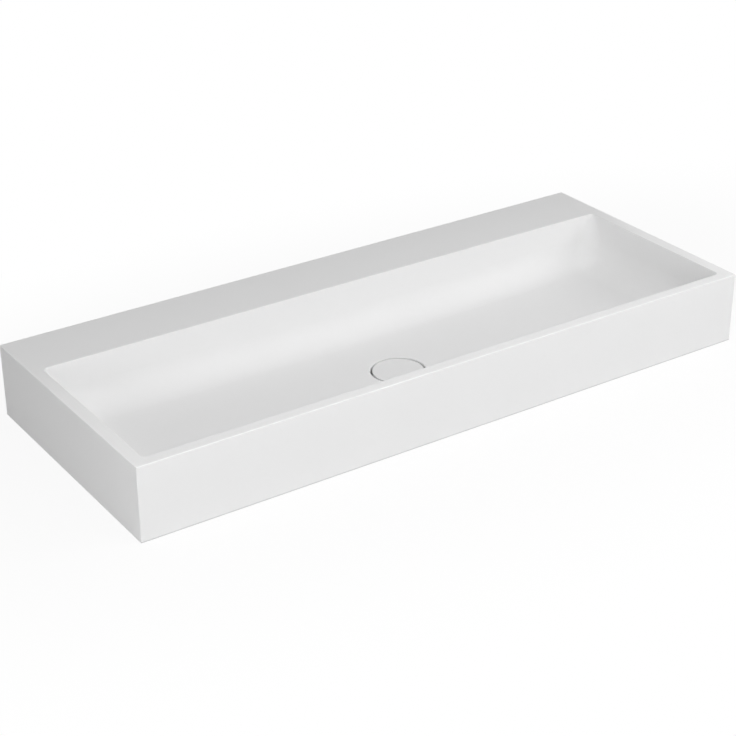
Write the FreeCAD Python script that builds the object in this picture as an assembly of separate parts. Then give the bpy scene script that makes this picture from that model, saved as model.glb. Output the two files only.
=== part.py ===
"""Wide countertop trough basin with a covered free-flow waste, one STEP file per piece."""

import FreeCAD
import Part

import math
import os

Vector = FreeCAD.Vector

# Basin block: X to the right, -Y to the front, origin in the middle of the base
basin_length = 1200.0
basin_depth = 485.0
basin_height = 130.0
edge_radius = 1.5

# Trough: drafted walls with corners that grow rounder towards a floor that falls to the drain
side_rim = 22.0
front_rim = 20.0
rear_deck = 120.0
wall_draft_degrees = 4.0
rim_corner_radius = 10.0
floor_fillet = 50.0
corner_margin = 2.5
end_rise = 6.5

# Hollow underside between transverse ribs
shell_thickness = 15.0
foot_width = 40.0
rib_thickness = 12.0
rib_count = 4
pocket_radius = 8.0

# Drain seat in the basin
seat_lift = 1.0
seat_thickness = 9.5
seat_wall = 13.5
hole_clearance = 2.0
recess_bevel = 0.5

# Drain cover and the spider that carries it
cover_diameter = 90.0
cover_thickness = 8.0
cover_bevel = 0.5
ring_gap = 4.0
carrier_thickness = 3.0
carrier_hub_radius = 12.0
arm_count = 3
arm_width = 10.0
spigot_radius = 3.0
spigot_reach = 8.0
foot_radius = 3.0
pad_thickness = 1.5
pad_clearance = 0.3

# Screws that hold the spider to the cover
screw_radius = 1.5
screw_head_radius = 3.0
screw_head_height = 2.0
screw_grip = 5.0
screw_circle_share = 0.45
thread_clearance = 0.1

# Flanged waste with a G 1 1/4 tail
water_gap = 4.5
flange_width = 12.0
flange_thickness = 3.5
flange_bevel = 1.0
tail_radius = 20.955
tail_wall = 2.955
ledge_width = 6.0
ledge_depth = 1.8
relief_width = 2.0
relief_depth = 1.5
free_thread = 20.0
tail_bevel = 1.0

# Rings and nut that clamp the waste to the seat
flange_seal_thickness = 1.5
flange_seal_margin = 2.0
ring_clearance = 0.4
lower_seal_width = 8.6
lower_seal_thickness = 5.0
washer_thickness = 1.5
nut_wall = 5.6
nut_height = 10.0
nut_bevel = 1.5

# Hair comb that hangs in the waste
comb_clearance = 0.4
comb_seat_gap = 0.3
comb_rim_overlap = 2.5
comb_hub_wall = 2.6
socket_clearance = 0.3
socket_floor = 2.5
spoke_count = 4
spoke_width = 2.4
spoke_height = 5.0
blade_thickness = 1.6
blade_half_width = 2.2
barb_count = 4
barb_pitch = 5.0
barb_root = 2.5
barb_rise = 5.0
barb_tip = 0.8
barb_clearance = 3.0

# Extra length of every cutting tool past the faces it cuts
overrun = 10.0

# Heights, worked up from the base
recess_depth = (
    cover_thickness + carrier_thickness + water_gap + flange_thickness + flange_seal_thickness
)
seat_bottom = seat_lift
recess_floor = seat_bottom + seat_thickness
floor_height = recess_floor + recess_depth
flange_bottom = recess_floor + flange_seal_thickness
flange_top = flange_bottom + flange_thickness
ledge_height = flange_top - ledge_depth
carrier_bottom = flange_top + water_gap
cover_bottom = carrier_bottom + carrier_thickness
cover_top = cover_bottom + cover_thickness
socket_bottom = flange_top - spigot_reach - socket_clearance
comb_hub_bottom = socket_bottom - socket_floor

# Heights, worked down from the drain seat
lower_seal_bottom = seat_bottom - lower_seal_thickness
washer_bottom = lower_seal_bottom - washer_thickness
nut_bottom = washer_bottom - nut_height
relief_bottom = nut_bottom - relief_width
tail_bottom = relief_bottom - free_thread

# Plan places
trough_half_length = basin_length / 2 - side_rim
trough_front = front_rim - basin_depth / 2
trough_back = basin_depth / 2 - rear_deck
drain_y = (trough_front + trough_back) / 2
cover_radius = cover_diameter / 2
recess_radius = cover_radius + ring_gap
screw_circle_radius = screw_circle_share * cover_radius
bore_radius = tail_radius - tail_wall
ledge_radius = bore_radius + ledge_width
flange_radius = tail_radius + flange_width
foot_circle_radius = (ledge_radius + flange_radius) / 2
drain_hole_radius = tail_radius + hole_clearance
clamp_bore_radius = tail_radius + ring_clearance
lower_seal_radius = clamp_bore_radius + lower_seal_width
socket_radius = spigot_radius + socket_clearance
comb_hub_radius = socket_radius + comb_hub_wall
comb_rim_inner_radius = bore_radius - comb_rim_overlap

up = Vector(0, 0, 1)


def drain_point(radius, degrees, height):
    """Point at a radius and a bearing about the drain's axis."""
    angle = math.radians(degrees)
    return Vector(radius * math.cos(angle), drain_y + radius * math.sin(angle), height)


def drain_cylinder(radius, bottom, top):
    """Upright cylinder on the drain's axis."""
    return Part.makeCylinder(radius, top - bottom, drain_point(0, 0, bottom))


def drain_ring(outer_radius, inner_radius, bottom, top):
    """Flat ring on the drain's axis."""
    bore = drain_cylinder(inner_radius, bottom - overrun, top + overrun)
    return drain_cylinder(outer_radius, bottom, top).cut(bore)


def turned(profile):
    """Solid turned about the drain's axis from its half section, given as radius and height."""
    outline = [drain_point(radius, 0, height) for radius, height in profile]
    section = Part.Face(Part.makePolygon(outline + outline[:1]))
    return section.revolve(drain_point(0, 0, 0), up, 360)


def bearings(count):
    """Evenly spaced bearings in degrees, the first one to the rear."""
    return [90 + 360 * step / count for step in range(count)]


def turned_to(shape, bearing):
    """Shape drawn along X from the frame's origin, moved to the drain's axis and turned to a bearing."""
    placed = shape.copy()
    placed.rotate(Vector(0, 0, 0), up, bearing)
    placed.translate(drain_point(0, 0, 0))
    return placed


def swept(outline, sweep):
    """Solid from a closed outline of points, swept half each way."""
    face = Part.Face(Part.makePolygon(outline + outline[:1]))
    face.translate(sweep / -2)
    return face.extrude(sweep)


def upright_edges(shape):
    """Straight edges that run up the walls."""
    found = []
    for edge in shape.Edges:
        along = edge.tangentAt(edge.FirstParameter)
        if abs(along.z) > max(abs(along.x), abs(along.y)):
            found.append(edge)
    return found


def wall_inset(height):
    """How far the drafted walls have come in at a height below the rim."""
    return (basin_height - height) * math.tan(math.radians(wall_draft_degrees))


def corner_arcs(height):
    """Round corners between the trough's walls at a height: small at the rim, wide at the floor."""
    depth_share = (basin_height - height) / (basin_height - floor_height - end_rise)
    floor_corner_radius = floor_fillet + corner_margin
    radius = rim_corner_radius + (floor_corner_radius - rim_corner_radius) * depth_share
    right = trough_half_length - wall_inset(height) - radius
    back = trough_back - wall_inset(height) - radius
    front = trough_front + wall_inset(height) + radius
    arcs = []
    for x, y, start in ((right, back, 0), (-right, back, 90), (-right, front, 180), (right, front, 270)):
        arcs.append(Part.makeCircle(radius, Vector(x, y, height), up, start, start + 90))
    return arcs


def level_face(arcs):
    """Level face inside four corner arcs and the straight edges between them."""
    edges = []
    for arc, following in zip(arcs, arcs[1:] + arcs[:1]):
        edges.append(arc)
        edges.append(Part.makeLine(arc.lastVertex().Point, following.firstVertex().Point))
    return Part.Face(Part.Wire(edges))


def trough_walls():
    """Space between the four flat walls and their ruled corners, run past the floor and the rim."""
    low = corner_arcs(floor_height - end_rise - overrun)
    high = corner_arcs(basin_height + overrun)
    faces = [level_face(low), level_face(high)]
    for index, (below, above) in enumerate(zip(low, high)):
        faces.append(Part.makeRuledSurface(below, above))
        wall = [
            below.firstVertex().Point,
            low[index - 1].lastVertex().Point,
            high[index - 1].lastVertex().Point,
            above.firstVertex().Point,
        ]
        faces.append(Part.Face(Part.makePolygon(wall + wall[:1])))
    return Part.makeSolid(Part.makeShell(faces))


def walled_form(wall):
    """Solid inside four walls of one section, given upwards as outward shift and height."""
    along = [Vector(trough_half_length + shift, 0, height) for shift, height in wall]
    along += [Vector(-point.x, 0, point.z) for point in reversed(along)]
    across = [Vector(0, trough_back + shift, height) for shift, height in wall]
    across += [Vector(0, trough_front - shift, height) for shift, height in reversed(wall)]
    return swept(along, Vector(0, 2 * basin_depth, 0)).common(swept(across, Vector(2 * basin_length, 0, 0)))


def space_above_slope():
    """Space above one slanting floor, which crosses the drain and rises to the right."""
    reach = trough_half_length + overrun
    rise = end_rise * reach / trough_half_length
    ceiling = basin_height + 2 * overrun
    outline = [
        Vector(-reach, 0, floor_height - rise),
        Vector(reach, 0, floor_height + rise),
        Vector(reach, 0, ceiling),
        Vector(-reach, 0, ceiling),
    ]
    return swept(outline, Vector(0, 2 * basin_depth, 0))


def make_trough():
    """Trough volume: each half has a slanting floor that runs into the walls in one wide round."""
    sloped = trough_walls().common(space_above_slope())
    floor = min(sloped.Faces, key=lambda face: face.CenterOfMass.z)
    sloped = sloped.makeFillet(floor_fillet, floor.OuterWire.Edges)
    right_side = Part.makeBox(
        basin_length, basin_depth, basin_height + 2 * overrun, Vector(0, -basin_depth / 2, 0)
    )
    right_half = sloped.common(right_side)
    left_half = right_half.mirror(Vector(0, 0, 0), Vector(1, 0, 0))
    return right_half.fuse(left_half).removeSplitter()


def make_jacket():
    """Trough with its shell round it, bevelled below so that the shell keeps its thickness at the bend."""
    bottom = floor_height - shell_thickness
    bend = (2 - math.sqrt(2)) * (floor_fillet + shell_thickness)
    shoulder = bottom + bend
    rim = basin_height + overrun
    return walled_form([
        (shell_thickness - wall_inset(bottom) - bend, bottom),
        (shell_thickness - wall_inset(shoulder), shoulder),
        (shell_thickness - wall_inset(rim), rim),
    ])


def underside_pockets():
    """Hollows between the ribs, under the floor and up behind the trough's rear wall."""
    jacket = make_jacket()
    boss = drain_cylinder(recess_radius + seat_wall, seat_bottom, basin_height)
    inner_length = basin_length - 2 * foot_width
    pocket_length = (inner_length - rib_count * rib_thickness) / (rib_count + 1)
    pocket_depth = basin_depth - foot_width - shell_thickness
    pocket_height = basin_height - shell_thickness + overrun
    pockets = []
    for index in range(rib_count + 1):
        left = index * (pocket_length + rib_thickness) - inner_length / 2
        corner = Vector(left, foot_width - basin_depth / 2, -overrun)
        pocket = Part.makeBox(pocket_length, pocket_depth, pocket_height, corner)
        pocket = pocket.makeFillet(pocket_radius, upright_edges(pocket))
        pockets.append(pocket.cut([jacket, boss]))
    return pockets


def mouth_edges(body):
    """Edges of the trough's mouth in the top face."""
    top = max(body.Faces, key=lambda face: face.CenterOfMass.z)
    return [edge for wire in top.Wires if not wire.isSame(top.OuterWire) for edge in wire.Edges]


def drain_cuts():
    """Recess for the cover, its bevelled mouth and the hole for the waste."""
    recess = drain_cylinder(recess_radius, recess_floor, floor_height + overrun)
    mouth = Part.makeCone(
        recess_radius,
        recess_radius + recess_bevel + overrun,
        recess_bevel + overrun,
        drain_point(0, 0, floor_height - recess_bevel),
    )
    hole = drain_cylinder(drain_hole_radius, -overrun, recess_floor + overrun)
    return [recess, mouth, hole]


def make_basin_body():
    """Cast basin: deck, rims, trough, drain seat and hollow underside."""
    block = Part.makeBox(
        basin_length, basin_depth, basin_height, Vector(-basin_length / 2, -basin_depth / 2, 0)
    )
    block = block.makeFillet(edge_radius, [edge for edge in block.Edges if edge.CenterOfMass.z > 0])
    body = block.cut(make_trough())
    body = body.makeFillet(edge_radius, mouth_edges(body))
    return body.cut(underside_pockets() + drain_cuts())


def make_waste_body():
    """Flanged waste: ledge for the comb, clamped tail, thread relief and free thread."""
    groove_radius = tail_radius - relief_depth
    return turned([
        (bore_radius, ledge_height),
        (ledge_radius, ledge_height),
        (ledge_radius, flange_top),
        (flange_radius - flange_bevel, flange_top),
        (flange_radius, flange_top - flange_bevel),
        (flange_radius, flange_bottom),
        (tail_radius, flange_bottom),
        (tail_radius, nut_bottom),
        (groove_radius, nut_bottom),
        (groove_radius, relief_bottom),
        (tail_radius, relief_bottom),
        (tail_radius, tail_bottom + tail_bevel),
        (tail_radius - tail_bevel, tail_bottom),
        (bore_radius, tail_bottom),
    ])


def make_flange_seal():
    """Flat rubber ring between the flange and the drain seat."""
    outer_radius = flange_radius - flange_seal_margin
    return drain_ring(outer_radius, clamp_bore_radius, recess_floor, flange_bottom)


def make_lower_seal():
    """Thick rubber ring that closes the drain hole from below."""
    return drain_ring(lower_seal_radius, clamp_bore_radius, lower_seal_bottom, seat_bottom)


def make_slip_washer():
    """Thin plastic washer that lets the nut turn on the lower seal."""
    return drain_ring(lower_seal_radius, clamp_bore_radius, washer_bottom, lower_seal_bottom)


def make_back_nut():
    """Hexagonal nut with bevelled corners."""
    corner_radius = (clamp_bore_radius + nut_wall) * 2 / math.sqrt(3)
    corners = [drain_point(corner_radius, bearing, nut_bottom) for bearing in bearings(6)]
    prism = Part.Face(Part.makePolygon(corners + corners[:1])).extrude(up * nut_height)
    rounding = turned([
        (clamp_bore_radius, washer_bottom),
        (corner_radius - nut_bevel, washer_bottom),
        (corner_radius, washer_bottom - nut_bevel),
        (corner_radius, nut_bottom + nut_bevel),
        (corner_radius - nut_bevel, nut_bottom),
        (clamp_bore_radius, nut_bottom),
    ])
    return prism.common(rounding)


def comb_spokes():
    """Upright bars from the comb's hub to its rim."""
    length = comb_rim_inner_radius + comb_rim_overlap / 2
    corner = Vector(0, -spoke_width / 2, flange_top - spoke_height)
    spoke = Part.makeBox(length, spoke_width, spoke_height, corner)
    return [turned_to(spoke, bearing) for bearing in bearings(spoke_count)]


def comb_blades():
    """Two crossed blades under the hub, with barbs that slant upwards to catch hair."""
    tip_radius = bore_radius - barb_clearance
    top = comb_hub_bottom + socket_floor / 2
    right_side = [Vector(blade_half_width, 0, top)]
    for index in range(barb_count):
        root = comb_hub_bottom - (index + 1) * barb_pitch
        right_side += [
            Vector(blade_half_width, 0, root + barb_root),
            Vector(tip_radius, 0, root + barb_rise),
            Vector(tip_radius, 0, root + barb_rise - barb_tip),
            Vector(blade_half_width, 0, root),
        ]
    right_side.append(Vector(blade_half_width, 0, root - barb_root))
    left_side = [Vector(-point.x, 0, point.z) for point in reversed(right_side)]
    outline = right_side + left_side
    blade = swept(outline, Vector(0, blade_thickness, 0))
    return [turned_to(blade, 0), turned_to(blade, 90)]


def make_comb_insert():
    """Lift-out hair comb: flat rim, spokes, socketed hub and barbed blades in one moulding."""
    rim = drain_ring(
        ledge_radius - comb_clearance, comb_rim_inner_radius, ledge_height + comb_seat_gap, flange_top
    )
    hub = drain_cylinder(comb_hub_radius, comb_hub_bottom, flange_top)
    socket = drain_cylinder(socket_radius, socket_bottom, flange_top + overrun)
    return rim.fuse([hub] + comb_spokes() + comb_blades()).cut(socket).removeSplitter()


def make_drain_cover():
    """Cover disc with a bevelled top edge and blind holes for the carrier's screws."""
    disc = turned([
        (0, cover_bottom),
        (cover_radius, cover_bottom),
        (cover_radius, cover_top - cover_bevel),
        (cover_radius - cover_bevel, cover_top),
        (0, cover_top),
    ])
    holes = []
    for bearing in bearings(arm_count):
        mouth = drain_point(screw_circle_radius, bearing, cover_bottom - overrun)
        depth = overrun + screw_grip + thread_clearance
        holes.append(Part.makeCylinder(screw_radius + thread_clearance, depth, mouth))
    return disc.cut(holes)


def carrier_arm(bearing):
    """One arm of the spider with its rounded end and its foot."""
    bar = Part.makeBox(
        foot_circle_radius, arm_width, carrier_thickness, Vector(0, -arm_width / 2, carrier_bottom)
    )
    end_place = drain_point(foot_circle_radius, bearing, carrier_bottom)
    end = Part.makeCylinder(arm_width / 2, carrier_thickness, end_place)
    foot_bottom = flange_top + pad_clearance + pad_thickness
    foot_place = drain_point(foot_circle_radius, bearing, foot_bottom)
    foot = Part.makeCylinder(foot_radius, carrier_bottom - foot_bottom, foot_place)
    return [turned_to(bar, bearing), end, foot]


def make_cover_carrier():
    """Moulded spider: hub, arms and feet under the cover, with a spigot that drops into the comb."""
    pieces = [drain_cylinder(spigot_radius, flange_top - spigot_reach, cover_bottom)]
    holes = []
    for bearing in bearings(arm_count):
        pieces += carrier_arm(bearing)
        hole_place = drain_point(screw_circle_radius, bearing, carrier_bottom - overrun)
        hole_length = carrier_thickness + 2 * overrun
        holes.append(Part.makeCylinder(screw_radius + thread_clearance, hole_length, hole_place))
    hub = drain_cylinder(carrier_hub_radius, carrier_bottom, cover_bottom)
    return hub.fuse(pieces).cut(holes).removeSplitter()


def make_cover_screws():
    """Pan-head screws from the carrier's underside into the cover."""
    screws = []
    for bearing in bearings(arm_count):
        seat = drain_point(screw_circle_radius, bearing, carrier_bottom)
        head = Part.makeCylinder(screw_head_radius, screw_head_height, seat, -up)
        shank = Part.makeCylinder(screw_radius, carrier_thickness + screw_grip, seat)
        screws.append(head.fuse(shank))
    return Part.makeCompound(screws)


def make_foot_pads():
    """Soft pads under the carrier's feet."""
    pads = []
    for bearing in bearings(arm_count):
        place = drain_point(foot_circle_radius, bearing, flange_top + pad_clearance)
        pads.append(Part.makeCylinder(foot_radius, pad_thickness, place))
    return Part.makeCompound(pads)


pieces_by_name = {
    "basin_body": make_basin_body,
    "waste_body": make_waste_body,
    "flange_seal": make_flange_seal,
    "lower_seal": make_lower_seal,
    "slip_washer": make_slip_washer,
    "back_nut": make_back_nut,
    "comb_insert": make_comb_insert,
    "drain_cover": make_drain_cover,
    "cover_carrier": make_cover_carrier,
    "cover_screws": make_cover_screws,
    "foot_pads": make_foot_pads,
}

os.makedirs("parts", exist_ok=True)
for name, make in pieces_by_name.items():
    make().exportStep(os.path.join("parts", name + ".step"))
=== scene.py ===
import math

import bmesh
import bpy
from mathutils import Matrix, Vector


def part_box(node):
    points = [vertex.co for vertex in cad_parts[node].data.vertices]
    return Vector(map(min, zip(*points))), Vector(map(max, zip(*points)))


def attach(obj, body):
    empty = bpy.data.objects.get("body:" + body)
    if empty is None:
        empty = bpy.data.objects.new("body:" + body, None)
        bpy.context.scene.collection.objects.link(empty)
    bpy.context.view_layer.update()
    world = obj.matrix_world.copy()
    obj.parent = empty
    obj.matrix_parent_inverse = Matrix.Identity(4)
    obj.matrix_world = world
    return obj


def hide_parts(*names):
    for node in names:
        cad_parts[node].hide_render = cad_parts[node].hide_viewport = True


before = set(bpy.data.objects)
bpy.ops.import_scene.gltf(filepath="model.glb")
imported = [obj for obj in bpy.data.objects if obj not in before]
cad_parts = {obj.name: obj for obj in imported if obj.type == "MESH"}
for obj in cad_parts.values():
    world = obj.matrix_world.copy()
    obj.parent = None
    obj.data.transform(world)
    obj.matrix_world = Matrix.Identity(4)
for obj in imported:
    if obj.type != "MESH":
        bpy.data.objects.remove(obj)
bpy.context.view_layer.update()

MM = 0.001
WHITE = (1.0, 1.0, 1.0, 1.0)
ORIGIN = (0.0, 0.0, 0.0)

# Places of the solids
basin_low, basin_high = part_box("basin_body")
cover_low, cover_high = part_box("drain_cover")
waste_low, waste_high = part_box("waste_body")
nut_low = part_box("back_nut")[0]
seal_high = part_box("flange_seal")[1]
DRAIN = (cover_low + cover_high) / 2

# Basin: its rims, its edges, how they are polished, and the painted highlight and painted shade along
# them
FRONT_RIM = 20.0 * MM
SIDE_RIM = 22.0 * MM
REAR_DECK = 120.0 * MM
EDGE_RADIUS = 1.5 * MM
# Height of the band of painted shade along the foot
FOOT_SHADE_HEIGHT = 2.5 * MM
RIM_FADE = 150.0 * MM
RIM_BLUR = 1.0 * MM
FRONT_RIM_SHARE = 0.85
UPRIGHT_EDGE_SHARE = 0.4

# Drain cover
COVER_RADIUS = (cover_high.x - cover_low.x) / 2
COVER_ROUNDING = 0.5 * MM
COVER_LOWER_ROUNDING = 0.4 * MM

# Waste and the pipe thread on its tail
FLANGE_RADIUS = (waste_high.x - waste_low.x) / 2
FLANGE_ROUNDING = 1.0 * MM
TAIL_RADIUS = 20.955 * MM
TAIL_BEVEL = 1.0 * MM
BORE_RADIUS = 18.0 * MM
LEDGE_RADIUS = 24.0 * MM
LEDGE_DEPTH = 1.8 * MM
RELIEF_WIDTH = 2.0 * MM
TURNED_ROUNDING = 0.3 * MM
THREAD_PITCH = 2.309 * MM
THREAD_DEPTH = 1.479 * MM
THREAD_ROWS = 8

# Fineness of the turned meshes
TURNED_STEPS = 128
ARC_STEPS = 6
SHARP_ANGLE = math.radians(35.0)
SAME_RADIUS = 0.03 * MM
SAME_PLACE = 0.001 * MM

# Studio
BASIN_MIDDLE = (0.0, 0.0, 0.1)
FLOOR_HALF = 9.0
FLOOR_CORNERS = ((-1, -1), (1, -1), (1, 1), (-1, 1))
FLOOR_HEIGHT = -0.3 * MM
FLOOR_DUST = 50.0 * MM
SHADOW_STRETCH = (0.5, 1.0, 1.0)
SHADOW_REACH = (0.30, 0.80)

# Camera, turned about the basin from straight in front of it
CAMERA_PLACE = (-1.5622, -2.2695, 1.4322)
CAMERA_AZIMUTH = math.radians(-34.0335)
CAMERA_ELEVATION = math.radians(27.2264)
CAMERA_ROLL = math.radians(-0.2607)
FOCAL_PIXELS = 1772.2
PICTURE_PIXELS = 736.0
SENSOR_WIDTH = 36.0
NEAR_CLIP = 0.05


class Signal:
    """One output of a node; sums and products of signals add Math nodes."""

    def __init__(self, nodes, socket):
        self.nodes = nodes
        self.socket = socket

    def math(self, operation, first, second):
        return self.nodes.node("ShaderNodeMath", {"operation": operation}, {0: first, 1: second})

    def __add__(self, other):
        return self.math("ADD", self, other)

    __radd__ = __add__

    def __sub__(self, other):
        return self.math("SUBTRACT", self, other)

    def __rsub__(self, other):
        return self.math("SUBTRACT", other, self)

    def __mul__(self, other):
        return self.math("MULTIPLY", self, other)

    __rmul__ = __mul__

    def __abs__(self):
        return self.math("ABSOLUTE", self, 0.0)


class Nodes:
    """The nodes of a material or of the world."""

    def __init__(self, owner):
        owner.use_nodes = True
        self.tree = owner.node_tree
        self.tree.nodes.clear()

    def node(self, kind, settings=None, inputs=None, output=0):
        """Adds a node: its settings first, then the values or links of its inputs."""
        added = self.tree.nodes.new(kind)
        for name, value in (settings or {}).items():
            setattr(added, name, value)
        for name, value in (inputs or {}).items():
            if isinstance(value, Signal):
                self.tree.links.new(value.socket, added.inputs[name])
            else:
                added.inputs[name].default_value = value
        return Signal(self, added.outputs[output]) if added.outputs else None

    def seen_directly(self):
        """1 for rays from the camera, a mirror or glass, 0 for the rays that carry light."""
        camera = self.node("ShaderNodeLightPath", output="Is Camera Ray")
        mirror = self.node("ShaderNodeLightPath", output="Is Glossy Ray")
        glass = self.node("ShaderNodeLightPath", output="Is Transmission Ray")
        return self.node("ShaderNodeClamp", None, {"Value": camera + mirror + glass})

    def mixed(self, share, first, second):
        """Shader that goes from the first to the second."""
        return self.node("ShaderNodeMixShader", None, {"Fac": share, 1: first, 2: second})


class Finish(Nodes):
    """A material, built up from nodes."""

    def __init__(self, name):
        self.material = bpy.data.materials.new(name)
        super().__init__(self.material)

    def place(self, shift=ORIGIN, stretch=(1.0, 1.0, 1.0)):
        """Position on the piece in metres, shifted so that like pieces differ."""
        position = self.node("ShaderNodeTexCoord", output="Object")
        inputs = {"Vector": position, "Location": shift, "Scale": stretch}
        return self.node("ShaderNodeMapping", None, inputs)

    def along(self, place, axis):
        """One coordinate of a place."""
        return self.node("ShaderNodeSeparateXYZ", None, {"Vector": place}, axis)

    def distance(self, place, point):
        """Metres from a point."""
        inputs = {0: place, 1: point}
        return self.node("ShaderNodeVectorMath", {"operation": "DISTANCE"}, inputs, "Value")

    def noise(self, place, size, detail=2.0, roughness=0.5):
        """Soft noise whose blots measure about size metres, from 0 to 1."""
        inputs = {"Vector": place, "Scale": 1.0 / size, "Detail": detail, "Roughness": roughness}
        return self.node("ShaderNodeTexNoise", None, inputs, "Fac")

    def ramp(self, value, low, high):
        """0 at low, 1 at high and smooth between them."""
        inputs = {"Value": value, "From Min": low, "From Max": high}
        return self.node("ShaderNodeMapRange", {"interpolation_type": "SMOOTHSTEP"}, inputs, "Result")

    def tint(self, share, first, second):
        """Colour that goes from the first to the second."""
        inputs = {0: share}
        for index, colour in ((6, first), (7, second)):
            inputs[index] = colour if isinstance(colour, Signal) else (*colour, 1.0)
        return self.node("ShaderNodeMix", {"data_type": "RGBA"}, inputs, 2)

    def facing_down(self):
        """1 where the surface faces the ground, 0 where it doesn't."""
        normal = self.node("ShaderNodeNewGeometry", output="Normal")
        return self.ramp(self.along(normal, "Z"), low=-0.3, high=-0.8)

    def on_outer_edges(self):
        """1 on the rounds along the basin's top, less on its upright corners, 0 on its faces."""
        place = self.place()
        closeness = []
        for axis, face in zip("XYZ", basin_high):
            reach = abs(self.along(place, axis))
            closeness.append(self.ramp(reach, face - EDGE_RADIUS, face - EDGE_RADIUS / 3))
        x, y, z = closeness
        return x * y * UPRIGHT_EDGE_SHARE + y * z + z * x

    def on_narrow_rims(self):
        """1 on the side rims, less on the front rim, as hands and cloths polish them, 0 elsewhere."""
        place = self.place()
        x = abs(self.along(place, "X"))
        y = self.along(place, "Y")
        z = self.along(place, "Z")
        front_limit = basin_low.y + FRONT_RIM
        side_limit = basin_high.x - SIDE_RIM
        deck_limit = basin_high.y - REAR_DECK
        on_top = self.ramp(z, basin_high.z - 2 * RIM_BLUR, basin_high.z - RIM_BLUR)
        front = self.ramp(y, front_limit + RIM_BLUR, front_limit - RIM_BLUR) * FRONT_RIM_SHARE
        beside = self.ramp(x, side_limit - RIM_BLUR, side_limit + RIM_BLUR)
        side = beside * self.ramp(y, deck_limit, deck_limit - RIM_FADE)
        return on_top * (front + side - front * side)

    def on_painted_foot_shade(self):
        """1 in a thin band of painted shade along the foot of the basin's long faces, 0 elsewhere."""
        place = self.place()
        low = self.ramp(self.along(place, "Z"), FOOT_SHADE_HEIGHT, FOOT_SHADE_HEIGHT / 3)
        reach = abs(self.along(place, "Y"))
        return low * self.ramp(reach, basin_high.y - FOOT_SHADE_HEIGHT, basin_high.y - FOOT_SHADE_HEIGHT / 3)

    def bump(self, height, depth):
        """Surface normal for a height from 0 to 1 that is depth metres deep."""
        return self.node("ShaderNodeBump", None, {"Height": height, "Distance": depth}, "Normal")

    def surface(self, colour, roughness, normal, metallic=0.0, **others):
        """Ends the finish in one surface shader and gives its material."""
        inputs = {"Base Color": colour, "Roughness": roughness, "Normal": normal, "Metallic": metallic}
        for name, value in others.items():
            inputs[name.replace("_", " ").title().replace("Ior", "IOR")] = value
        shader = self.node("ShaderNodeBsdfPrincipled", None, inputs, "BSDF")
        self.node("ShaderNodeOutputMaterial", None, {"Surface": shader})
        return self.material


def grey(level):
    """Neutral colour of one level."""
    return (level, level, level)


def mineral_cast(name, shift, shade=1.0):
    """Satin white filled resin: clouds, filler grain, polished edges with a painted highlight, a painted
    shade along the foot and a rougher raw face below.
    """
    cloud_size = 160.0 * MM
    grain_size = 0.9 * MM
    fleck_size = 2.2 * MM
    flow_size = 30.0 * MM
    relief = 0.06 * MM
    dim_white = grey(0.887 * shade)
    clear_white = grey(0.907 * shade)
    fleck_grey = grey(0.83 * shade)
    # Painted highlight: the edge rounds are lightened in colour to stand for the bright line of light
    # along them
    painted_highlight_white = grey(0.985)
    # Painted shade: a dark band along the foot stands for the lower edge turning away from the light
    painted_foot_shade_grey = grey(0.60)
    raw_grey = (0.70, 0.695, 0.68)

    finish = Finish(name)
    place = finish.place(shift)
    cloud = finish.noise(place, cloud_size, detail=3.0)
    grain = finish.noise(place, grain_size)
    fleck = finish.ramp(finish.noise(place, fleck_size, detail=1.0), low=0.66, high=0.72)
    flow = finish.noise(place, flow_size, detail=4.0, roughness=0.6)
    raw = finish.facing_down()
    edge_polish_and_highlight = finish.on_outer_edges()
    white = finish.tint(cloud, dim_white, clear_white)
    flecked = finish.tint(fleck * 0.25, white, fleck_grey)
    # The edge rounds get a painted highlight in their colour, and the same mask gives them a real polish
    # in the coat
    edge_highlighted = finish.tint(edge_polish_and_highlight * 0.8, flecked, painted_highlight_white)
    # Painted shade along the foot of the long faces
    foot_shaded = finish.tint(finish.on_painted_foot_shade() * 0.8, edge_highlighted, painted_foot_shade_grey)
    colour = finish.tint(raw * (0.35 + flow * 0.5), foot_shaded, raw_grey)
    roughness = 0.48 + cloud * 0.06 + grain * 0.05 + raw * 0.2
    normal = finish.bump(grain * 0.5 + cloud * 0.1 + raw * flow * 2.0, relief)
    polish = edge_polish_and_highlight + finish.on_narrow_rims() * (0.55 + cloud * 0.4)
    return finish.surface(
        colour, roughness, normal,
        specular_ior_level=0.1, coat_weight=polish, coat_roughness=0.15, coat_ior=1.7,
    )


def chromed_brass(name):
    """Polished chrome with faint water marks."""
    haze_size = 12.0 * MM
    spot_size = 3.5 * MM
    relief = 0.01 * MM
    chrome = (0.83, 0.84, 0.85)
    water_mark = (0.72, 0.73, 0.74)

    finish = Finish(name)
    place = finish.place()
    haze = finish.noise(place, haze_size, detail=3.0)
    spot = finish.ramp(finish.noise(place, spot_size, detail=1.0), low=0.60, high=0.70)
    colour = finish.tint(spot * 0.4, chrome, water_mark)
    roughness = 0.05 + haze * 0.06 + spot * 0.10
    return finish.surface(colour, roughness, finish.bump(haze, relief), metallic=1.0)


def turned_brass(name):
    """Bare brass with turning marks and a slightly dulled skin."""
    shift = (0.0, 0.05, 0.0)
    turning_stretch = (0.15, 0.15, 6.0)
    mark_size = 1.6 * MM
    dull_size = 9.0 * MM
    relief = 0.04 * MM
    bright_brass = (0.80, 0.60, 0.27)
    dulled_brass = (0.52, 0.37, 0.16)

    finish = Finish(name)
    marks = finish.noise(finish.place(shift, turning_stretch), mark_size)
    dull = finish.ramp(finish.noise(finish.place(shift), dull_size, detail=4.0), low=0.42, high=0.70)
    colour = finish.tint(dull * 0.7, bright_brass, dulled_brass)
    roughness = 0.24 + marks * 0.14 + dull * 0.20
    return finish.surface(colour, roughness, finish.bump(marks, relief), metallic=1.0)


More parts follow.
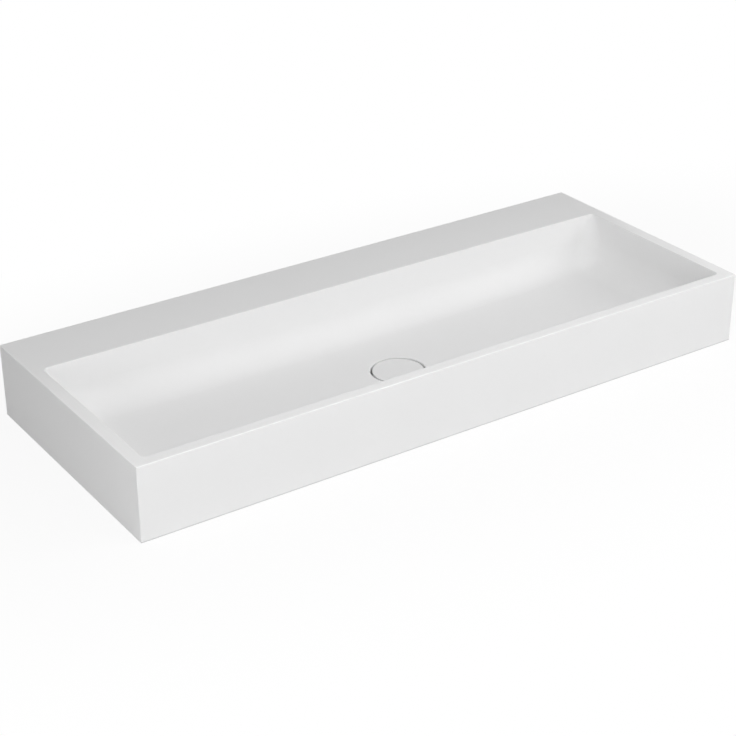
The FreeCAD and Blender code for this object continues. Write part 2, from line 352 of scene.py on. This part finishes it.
def moulded_rubber(name):
    """Black rubber with a dusty bloom and a fine moulded skin."""
    skin_size = 0.6 * MM
    bloom_size = 12.0 * MM
    relief = 0.08 * MM
    black = (0.018, 0.018, 0.019)
    dusty_black = (0.050, 0.049, 0.047)

    finish = Finish(name)
    place = finish.place()
    skin = finish.noise(place, skin_size)
    bloom = finish.noise(place, bloom_size, detail=3.0)
    colour = finish.tint(finish.ramp(bloom, low=0.40, high=0.75), black, dusty_black)
    roughness = 0.62 + bloom * 0.2
    return finish.surface(colour, roughness, finish.bump(skin, relief), specular_ior_level=0.35)


def moulded_plastic(name, shade, streak):
    """Injection-moulded plastic with flow streaks and a fine spark texture."""
    spark_size = 0.5 * MM
    flow_size = 14.0 * MM
    flow_shift = (0.02, 0.01, 0.0)
    flow_stretch = (1.0, 1.0, 0.3)
    relief = 0.04 * MM

    finish = Finish(name)
    spark = finish.noise(finish.place(), spark_size)
    flow = finish.noise(finish.place(flow_shift, flow_stretch), flow_size, detail=3.0)
    colour = finish.tint(finish.ramp(flow, low=0.35, high=0.70), shade, streak)
    roughness = 0.42 + flow * 0.10 + spark * 0.06
    return finish.surface(colour, roughness, finish.bump(spark, relief))


def stainless_steel(name):
    """Stainless steel with fine scratches and a little grey film."""
    scratch_size = 1.2 * MM
    scratch_stretch = (1.0, 1.0, 8.0)
    film_size = 3.0 * MM
    relief = 0.02 * MM
    clean_steel = (0.70, 0.70, 0.71)
    filmed_steel = (0.58, 0.58, 0.59)

    finish = Finish(name)
    scratch = finish.noise(finish.place(stretch=scratch_stretch), scratch_size)
    film = finish.noise(finish.place(), film_size, detail=3.0)
    colour = finish.tint(film, clean_steel, filmed_steel)
    roughness = 0.20 + scratch * 0.16
    return finish.surface(colour, roughness, finish.bump(scratch, relief), metallic=1.0)


def silicone(name):
    """Milky silicone with cloudy depth."""
    cloud_size = 4.0 * MM
    skin_size = 0.5 * MM
    relief = 0.05 * MM
    cool_milk = (0.66, 0.67, 0.68)
    warm_milk = (0.75, 0.75, 0.74)

    finish = Finish(name)
    place = finish.place()
    cloud = finish.noise(place, cloud_size, detail=3.0)
    skin = finish.noise(place, skin_size, detail=1.0)
    colour = finish.tint(cloud, cool_milk, warm_milk)
    roughness = 0.48 + cloud * 0.12
    return finish.surface(colour, roughness, finish.bump(skin, relief))


def dress(node, material):
    """Gives a CAD node its finish."""
    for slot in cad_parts[node].material_slots:
        slot.material = material


def rounded(section):
    """Outline of a half section whose corners, given as radius, height and rounding, become arcs."""
    outline = []
    for index, (radius, height, rounding) in enumerate(section):
        corner = Vector((radius, height))
        if rounding == 0.0:
            outline.append(corner)
            continue
        before = (Vector(section[index - 1][:2]) - corner).normalized()
        after = (Vector(section[(index + 1) % len(section)][:2]) - corner).normalized()
        half_angle = before.angle(after) / 2
        centre = corner + (before + after).normalized() * rounding / math.sin(half_angle)
        start = corner + before * rounding / math.tan(half_angle) - centre
        end = corner + after * rounding / math.tan(half_angle) - centre
        for step in range(ARC_STEPS + 1):
            outline.append(centre + rounding * start.slerp(end, step / ARC_STEPS))
    return outline


def turned(outline):
    """Mesh of a half section turned about the drain's axis; an end on the axis closes in a point."""
    mesh = bmesh.new()
    rim = [mesh.verts.new((DRAIN.x + radius, DRAIN.y, height)) for radius, height in outline]
    edges = [mesh.edges.new(pair) for pair in zip(rim, rim[1:])]
    if outline[0].x > 0.0:
        edges.append(mesh.edges.new((rim[-1], rim[0])))
    bmesh.ops.spin(
        mesh, geom=rim + edges, cent=(DRAIN.x, DRAIN.y, 0.0), axis=(0.0, 0.0, 1.0),
        angle=math.tau, steps=TURNED_STEPS, use_merge=True,
    )
    bmesh.ops.remove_doubles(mesh, verts=mesh.verts, dist=SAME_PLACE)
    bmesh.ops.recalc_face_normals(mesh, faces=mesh.faces)
    return mesh


def piece(name, mesh, material, body, node):
    """Makes an object of a mesh that stands for a CAD node and rides on its body."""
    data = bpy.data.meshes.new(name)
    mesh.to_mesh(data)
    mesh.free()
    data.shade_smooth()
    data.set_sharp_from_angle(angle=SHARP_ANGLE)
    data.materials.append(material)
    shape = bpy.data.objects.new(name, data)
    bpy.context.scene.collection.objects.link(shape)
    weighted = shape.modifiers.new("even_shading", "WEIGHTED_NORMAL")
    weighted.keep_sharp = True
    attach(shape, body)
    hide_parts(node)


def drain_cover(material):
    """Cover disc, turned in one piece with a soft upper edge."""
    outline = rounded([
        (0.0, cover_low.z, 0.0),
        (COVER_RADIUS, cover_low.z, COVER_LOWER_ROUNDING),
        (COVER_RADIUS, cover_high.z, COVER_ROUNDING),
        (0.0, cover_high.z, 0.0),
    ])
    piece("cover_disc", turned(outline), material, "cover", "drain_cover")


def cut_thread(mesh, top, bottom):
    """Sinks a helical thread into the tail between two heights, running out at both ends."""
    for vertex in mesh.verts:
        arm = vertex.co.xy - DRAIN.xy
        on_tail = abs(arm.length - TAIL_RADIUS) < SAME_RADIUS
        if not on_tail or not bottom < vertex.co.z < top:
            continue
        turns_below = (vertex.co.z - bottom) / THREAD_PITCH
        turns_above = (top - vertex.co.z) / THREAD_PITCH
        turns = turns_below - math.atan2(arm.y, arm.x) / math.tau
        run_out = min(turns_above, turns_below, 1.0)
        depth = THREAD_DEPTH * run_out * (0.5 - 0.5 * math.cos(math.tau * turns))
        vertex.co.xy = DRAIN.xy + arm * (1.0 - depth / TAIL_RADIUS)


def threaded_waste(material):
    """Flanged waste with a ledge for the comb, a relief groove and a pipe thread on its tail."""
    ledge = waste_high.z - LEDGE_DEPTH
    flange_bottom = seal_high.z
    groove_top = nut_low.z
    groove_radius = TAIL_RADIUS - THREAD_DEPTH
    thread_top = groove_top - RELIEF_WIDTH
    thread_bottom = waste_low.z + TAIL_BEVEL
    # The last corner is left off again: it only gives the bore its direction
    upper = rounded([
        (BORE_RADIUS, ledge, TURNED_ROUNDING),
        (LEDGE_RADIUS, ledge, 0.0),
        (LEDGE_RADIUS, waste_high.z, TURNED_ROUNDING),
        (FLANGE_RADIUS, waste_high.z, FLANGE_ROUNDING),
        (FLANGE_RADIUS, flange_bottom, TURNED_ROUNDING),
        (TAIL_RADIUS, flange_bottom, 0.0),
        (TAIL_RADIUS, groove_top, TURNED_ROUNDING),
        (groove_radius, groove_top - TURNED_ROUNDING, 0.0),
        (groove_radius, thread_top, 0.0),
        (BORE_RADIUS, thread_top, 0.0),
    ])[:-1]
    rows = round((thread_top - thread_bottom) / THREAD_PITCH * THREAD_ROWS)
    step = (thread_top - thread_bottom) / rows
    thread = [Vector((TAIL_RADIUS, thread_top - row * step)) for row in range(rows + 1)]
    tail_end = [Vector((TAIL_RADIUS - TAIL_BEVEL, waste_low.z)), Vector((BORE_RADIUS, waste_low.z))]
    mesh = turned(upper + thread + tail_end)
    cut_thread(mesh, thread_top, thread_bottom)
    piece("threaded_waste", mesh, material, "basin", "waste_body")


def softbox(name, place, width, height, power, mirrored=True):
    """Rectangular studio light that points at the basin, and shows in polished faces where mirrored."""
    lamp = bpy.data.lights.new(name, "AREA")
    lamp.shape = "RECTANGLE"
    lamp.size = width
    lamp.size_y = height
    lamp.energy = power
    holder = bpy.data.objects.new(name, lamp)
    holder.location = place
    holder.visible_glossy = mirrored
    holder.rotation_euler = (Vector(BASIN_MIDDLE) - Vector(place)).to_track_quat("-Z", "Y").to_euler()
    bpy.context.scene.collection.objects.link(holder)


def studio_floor(shadow_share):
    """Wide pale floor that looks white, keeps a share of the shadow and has a painted dark disc under
    the outlet for the shade down the hole.
    """
    finish = Finish("studio_floor")
    place = finish.place()
    dust = finish.noise(place, FLOOR_DUST)
    seen = finish.seen_directly()
    lighting_shade = finish.tint(dust, grey(0.77), grey(0.79))
    seen_shade = finish.tint(dust, grey(0.94), grey(0.96))
    shade = finish.tint(seen, lighting_shade, seen_shade)
    # Painted shade: a dark disc under the outlet stands for the darkness down the drain hole
    painted_outlet_shade = finish.ramp(finish.distance(place, DRAIN.xy.to_3d()), TAIL_RADIUS, BORE_RADIUS)
    paper_with_outlet_shade = finish.tint(painted_outlet_shade, shade, grey(0.02))
    paper = finish.node("ShaderNodeBsdfDiffuse", None, {"Color": paper_with_outlet_shade})
    white = finish.node("ShaderNodeEmission", None, {"Color": WHITE, "Strength": 1.0})
    from_basin = finish.distance(finish.place(stretch=SHADOW_STRETCH), ORIGIN)
    shadow = shadow_share * (1.0 - finish.ramp(from_basin, *SHADOW_REACH))
    lit = finish.mixed(seen * (1.0 - shadow) * (1.0 - painted_outlet_shade), paper, white)
    finish.node("ShaderNodeOutputMaterial", None, {"Surface": lit})
    corners = [(x * FLOOR_HALF, y * FLOOR_HALF, FLOOR_HEIGHT) for x, y in FLOOR_CORNERS]
    mesh = bpy.data.meshes.new("studio_floor")
    mesh.from_pydata(corners, [], [(0, 1, 2, 3)])
    mesh.materials.append(finish.material)
    floor = bpy.data.objects.new("studio_floor", mesh)
    bpy.context.scene.collection.objects.link(floor)


def studio_world(ambient):
    """Even soft light from all round, which looks white to the camera."""
    world = bpy.data.worlds.new("studio_world")
    bpy.context.scene.world = world
    nodes = Nodes(world)
    light = nodes.node("ShaderNodeBackground", None, {"Color": WHITE, "Strength": ambient})
    white = nodes.node("ShaderNodeBackground", None, {"Color": WHITE, "Strength": 1.0})
    sky = nodes.mixed(nodes.seen_directly(), light, white)
    nodes.node("ShaderNodeOutputWorld", None, {"Surface": sky})


def photo_camera():
    """Camera at the photograph's place: left of the front corner, looking down on the basin."""
    back = Vector((
        math.sin(CAMERA_AZIMUTH) * math.cos(CAMERA_ELEVATION),
        -math.cos(CAMERA_AZIMUTH) * math.cos(CAMERA_ELEVATION),
        math.sin(CAMERA_ELEVATION),
    ))
    right = Vector((0.0, 0.0, 1.0)).cross(back).normalized()
    above = back.cross(right)
    rolled_right = math.cos(CAMERA_ROLL) * right + math.sin(CAMERA_ROLL) * above
    rolled_above = math.cos(CAMERA_ROLL) * above - math.sin(CAMERA_ROLL) * right
    turn = Matrix((rolled_right, rolled_above, back)).transposed().to_4x4()
    lens = bpy.data.cameras.new("photo_camera")
    lens.sensor_width = SENSOR_WIDTH
    lens.lens = SENSOR_WIDTH * FOCAL_PIXELS / PICTURE_PIXELS
    lens.clip_start = NEAR_CLIP
    camera = bpy.data.objects.new("photo_camera", lens)
    camera.matrix_world = Matrix.Translation(CAMERA_PLACE) @ turn
    bpy.context.scene.collection.objects.link(camera)
    bpy.context.scene.camera = camera


# Finishes that need more than a name
basin_cast = mineral_cast("mineral_cast", shift=ORIGIN)
cover_cast = mineral_cast("cover_cast", shift=(0.7, 0.3, 0.1), shade=0.98)
rubber = moulded_rubber("black_rubber")
washer_plastic = moulded_plastic("washer_plastic", shade=(0.82, 0.82, 0.80), streak=(0.75, 0.75, 0.72))
comb_plastic = moulded_plastic("comb_plastic", shade=(0.55, 0.56, 0.57), streak=(0.47, 0.48, 0.49))
carrier_plastic = moulded_plastic("carrier_plastic", shade=(0.75, 0.75, 0.74), streak=(0.68, 0.68, 0.67))

# Basin, cover and waste
dress("basin_body", basin_cast)
drain_cover(cover_cast)
threaded_waste(chromed_brass("chromed_brass"))
dress("flange_seal", rubber)
dress("lower_seal", rubber)
dress("slip_washer", washer_plastic)
dress("back_nut", turned_brass("nut_brass"))
dress("comb_insert", comb_plastic)
dress("cover_carrier", carrier_plastic)
dress("cover_screws", stainless_steel("screw_steel"))
dress("foot_pads", silicone("pad_silicone"))

# Camera and light
photo_camera()
studio_world(ambient=0.32)
studio_floor(shadow_share=0.12)
softbox("overhead_light", place=(0.0, -0.9, 1.6), width=2.4, height=0.6, power=6.2)
softbox("front_light", place=(0.0, -0.85, 0.95), width=2.4, height=0.4, power=5.8, mirrored=False)
softbox("near_right_light", place=(1.9, -1.3, 1.1), width=0.8, height=0.8, power=10.5, mirrored=False)
softbox("low_left_light", place=(-1.6, -1.2, 0.35), width=0.6, height=0.6, power=4.5)
softbox("left_light", place=(-3.4, -0.4, 1.5), width=2.4, height=1.8, power=4.4)
softbox("back_light", place=(0.0, 3.0, 0.35), width=2.4, height=0.5, power=16.0)

bpy.context.scene.view_settings.view_transform = "Standard"
